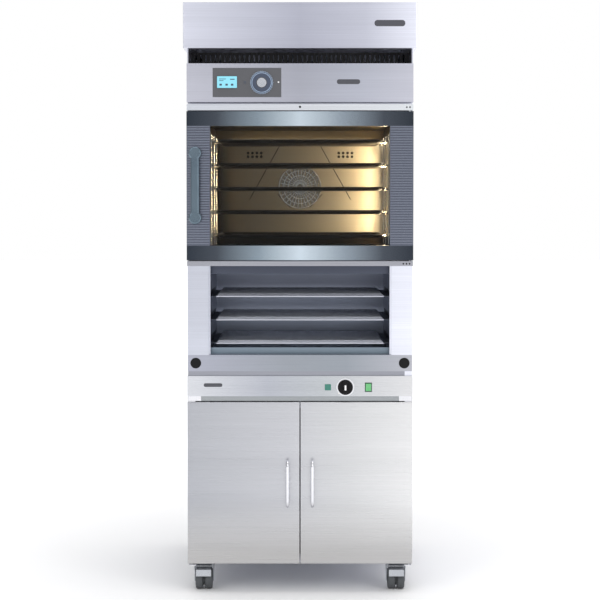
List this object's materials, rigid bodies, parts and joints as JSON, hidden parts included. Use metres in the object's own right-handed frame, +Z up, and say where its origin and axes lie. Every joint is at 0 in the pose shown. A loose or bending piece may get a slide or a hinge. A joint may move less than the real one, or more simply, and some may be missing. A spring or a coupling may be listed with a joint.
{
  "type": "deck oven",
  "caption": "Convection oven for bakery trays with a side-hinged glass door and steam hood, standing on a tray rack and a two-door proofer on castors.",
  "frame": {"origin": "on the floor under the middle of the unit, counting its door handle and rear outlet", "axes": "+Z up, -Y towards the doors, +X to the right as seen from the front"},
  "size_m": [0.82, 0.88, 2.095],
  "materials": {
    "brushed_stainless": "brushed along the width",
    "cavity_stainless": "satin, warmed by the lamps",
    "heater_sheath": "oxidised tube",
    "bright_wire": "electropolished",
    "polished_stainless": "polished",
    "mineral_wool": "loose fibre board",
    "motor_enamel": "satin enamel",
    "tray_aluminium": "rolled, satin",
    "lamp_glass": "clear moulded lens",
    "tinted_glass": "tinted toughened sheet",
    "clear_glass": "clear toughened sheet",
    "door_enamel": "dark anodised",
    "silicone_seal": "silicone",
    "handle_anodised": "blue-grey anodised",
    "panel_glass": "dark printed panel",
    "dial_ring": "satin ring",
    "dial_cap": "spun cap",
    "lamp_green": "green lens",
    "black_plastic": "moulded",
    "switch_green_dark": "moulded",
    "switch_green": "translucent moulding",
    "grey_gasket": "extruded",
    "zinc_steel": "zinc plated",
    "castor_tyre": "moulded tread"
  },
  "bodies": {
    "cabinet": {"baking_trays": "tray_aluminium", "castor_plates": "zinc_steel", "cavity_lamps": "lamp_glass", "control_glass": "panel_glass", "fan_baffle": "cavity_stainless", "fan_motor": "motor_enamel", "heating_ring": "heater_sheath", "hinge_brackets": "brushed_stainless", "hood_filter": "brushed_stainless", "hood_intake": "brushed_stainless", "hood_shell": "brushed_stainless", "humidifier": "brushed_stainless", "insulation": "mineral_wool", "oven_casing": "brushed_stainless", "oven_head": "brushed_stainless", "oven_liner": "cavity_stainless", "oven_trims": "brushed_stainless", "oven_wire_racks": "bright_wire", "pilot_lamp": "lamp_green", "plinth_plugs": "black_plastic", "proofer_casing": "brushed_stainless", "proofer_fascia": "brushed_stainless", "proofer_liner": "cavity_stainless", "proofer_tray_racks": "brushed_stainless", "rack_housing": "brushed_stainless", "rack_pillars": "brushed_stainless", "rack_plinth": "brushed_stainless", "rack_runners": "brushed_stainless", "rear_connections": "polished_stainless", "switch_frame": "switch_green_dark", "thermostat_body": "black_plastic"},
    "oven_door": {"oven_door_frame": "door_enamel", "oven_door_glass_outer": "tinted_glass", "oven_door_glass_inner": "clear_glass", "oven_door_seal": "silicone_seal", "oven_door_handle": "handle_anodised"},
    "proofer_door_left_body": {"proofer_door_left": "brushed_stainless", "proofer_handle_left": "polished_stainless", "proofer_seal_left": "grey_gasket"},
    "proofer_door_right_body": {"proofer_door_right": "brushed_stainless", "proofer_handle_right": "polished_stainless", "proofer_seal_right": "grey_gasket"},
    "program_dial_body": {"program_dial": "dial_ring"},
    "dial_button_body": {"dial_button": "dial_cap"},
    "thermostat_knob_body": {"thermostat_knob": "black_plastic"},
    "switch_rocker_body": {"switch_rocker": "switch_green"},
    "fan_wheel_body": {"fan_wheel": "brushed_stainless"},
    "storage_tray_1_body": {"storage_tray_1": "tray_aluminium"},
    "storage_tray_2_body": {"storage_tray_2": "tray_aluminium"},
    "storage_tray_3_body": {"storage_tray_3": "tray_aluminium"},
    "castor_front_left": {"castor_fork_front_left": "zinc_steel"},
    "wheels_front_left": {"castor_wheels_front_left": "castor_tyre"},
    "castor_front_right": {"castor_fork_front_right": "zinc_steel"},
    "wheels_front_right": {"castor_wheels_front_right": "castor_tyre"},
    "castor_rear_left": {"castor_fork_rear_left": "zinc_steel"},
    "wheels_rear_left": {"castor_wheels_rear_left": "castor_tyre"},
    "castor_rear_right": {"castor_fork_rear_right": "zinc_steel"},
    "wheels_rear_right": {"castor_wheels_rear_right": "castor_tyre"},
    "pedal_front_left": {"castor_pedal_front_left": "zinc_steel"},
    "pedal_front_right": {"castor_pedal_front_right": "zinc_steel"}
  },
  "joints": [
    {"name": "oven_door_swing", "type": "hinge", "parent": "cabinet", "child": "oven_door", "pos_m": [0.388, -0.371, 1.4525], "axis": [0, 0, 1], "range_deg": [0, 115]},
    {"name": "proofer_door_left_swing", "type": "hinge", "parent": "cabinet", "child": "proofer_door_left_body", "pos_m": [-0.388, -0.371, 0.395], "axis": [0, 0, -1], "range_deg": [0, 115]},
    {"name": "proofer_door_right_swing", "type": "hinge", "parent": "cabinet", "child": "proofer_door_right_body", "pos_m": [0.388, -0.371, 0.395], "axis": [0, 0, 1], "range_deg": [0, 115]},
    {"name": "program_dial_turn", "type": "hinge", "parent": "cabinet", "child": "program_dial_body", "pos_m": [-0.135, -0.4, 1.816], "axis": [0, 1, 0], "continuous": true},
    {"name": "dial_button_press", "type": "slide", "parent": "cabinet", "child": "dial_button_body", "axis": [0, 1, 0], "range_m": [0, 0.0015], "stiffness_N_per_m": 400, "springref_m": -0.0005},
    {"name": "thermostat_knob_turn", "type": "hinge", "parent": "cabinet", "child": "thermostat_knob_body", "pos_m": [0.161, -0.4, 0.738], "axis": [0, 1, 0], "range_deg": [0, 300]},
    {"name": "switch_rocker_tilt", "type": "hinge", "parent": "cabinet", "child": "switch_rocker_body", "pos_m": [0.243, -0.392, 0.738], "axis": [1, 0, 0], "range_deg": [-6, 6]},
    {"name": "fan_spin", "type": "hinge", "parent": "cabinet", "child": "fan_wheel_body", "pos_m": [0, 0.16, 1.4525], "axis": [0, 1, 0], "continuous": true},
    {"name": "storage_tray_1_slide", "type": "slide", "parent": "cabinet", "child": "storage_tray_1_body", "axis": [0, -1, 0], "range_m": [0, 0.38]},
    {"name": "storage_tray_2_slide", "type": "slide", "parent": "cabinet", "child": "storage_tray_2_body", "axis": [0, -1, 0], "range_m": [0, 0.38]},
    {"name": "storage_tray_3_slide", "type": "slide", "parent": "cabinet", "child": "storage_tray_3_body", "axis": [0, -1, 0], "range_m": [0, 0.38]},
    {"name": "castor_front_left_swivel", "type": "hinge", "parent": "cabinet", "child": "castor_front_left", "pos_m": [-0.346, -0.291, 0.09], "axis": [0, 0, 1], "continuous": true},
    {"name": "wheels_front_left_roll", "type": "hinge", "parent": "castor_front_left", "child": "wheels_front_left", "pos_m": [-0.346, -0.321, 0.0375], "axis": [1, 0, 0], "continuous": true},
    {"name": "pedal_front_left_lift", "type": "hinge", "parent": "castor_front_left", "child": "pedal_front_left", "pos_m": [-0.346, -0.342, 0.084], "axis": [1, 0, 0], "range_deg": [-20, 0]},
    {"name": "castor_front_right_swivel", "type": "hinge", "parent": "cabinet", "child": "castor_front_right", "pos_m": [0.346, -0.291, 0.09], "axis": [0, 0, 1], "continuous": true},
    {"name": "wheels_front_right_roll", "type": "hinge", "parent": "castor_front_right", "child": "wheels_front_right", "pos_m": [0.346, -0.321, 0.0375], "axis": [1, 0, 0], "continuous": true},
    {"name": "pedal_front_right_lift", "type": "hinge", "parent": "castor_front_right", "child": "pedal_front_right", "pos_m": [0.346, -0.342, 0.084], "axis": [1, 0, 0], "range_deg": [-20, 0]},
    {"name": "castor_rear_left_swivel", "type": "hinge", "parent": "cabinet", "child": "castor_rear_left", "pos_m": [-0.346, 0.356, 0.09], "axis": [0, 0, 1], "continuous": true},
    {"name": "wheels_rear_left_roll", "type": "hinge", "parent": "castor_rear_left", "child": "wheels_rear_left", "pos_m": [-0.346, 0.386, 0.0375], "axis": [1, 0, 0], "continuous": true},
    {"name": "castor_rear_right_swivel", "type": "hinge", "parent": "cabinet", "child": "castor_rear_right", "pos_m": [0.346, 0.356, 0.09], "axis": [0, 0, 1], "continuous": true},
    {"name": "wheels_rear_right_roll", "type": "hinge", "parent": "castor_rear_right", "child": "wheels_rear_right", "pos_m": [0.346, 0.386, 0.0375], "axis": [1, 0, 0], "continuous": true}
  ]
}
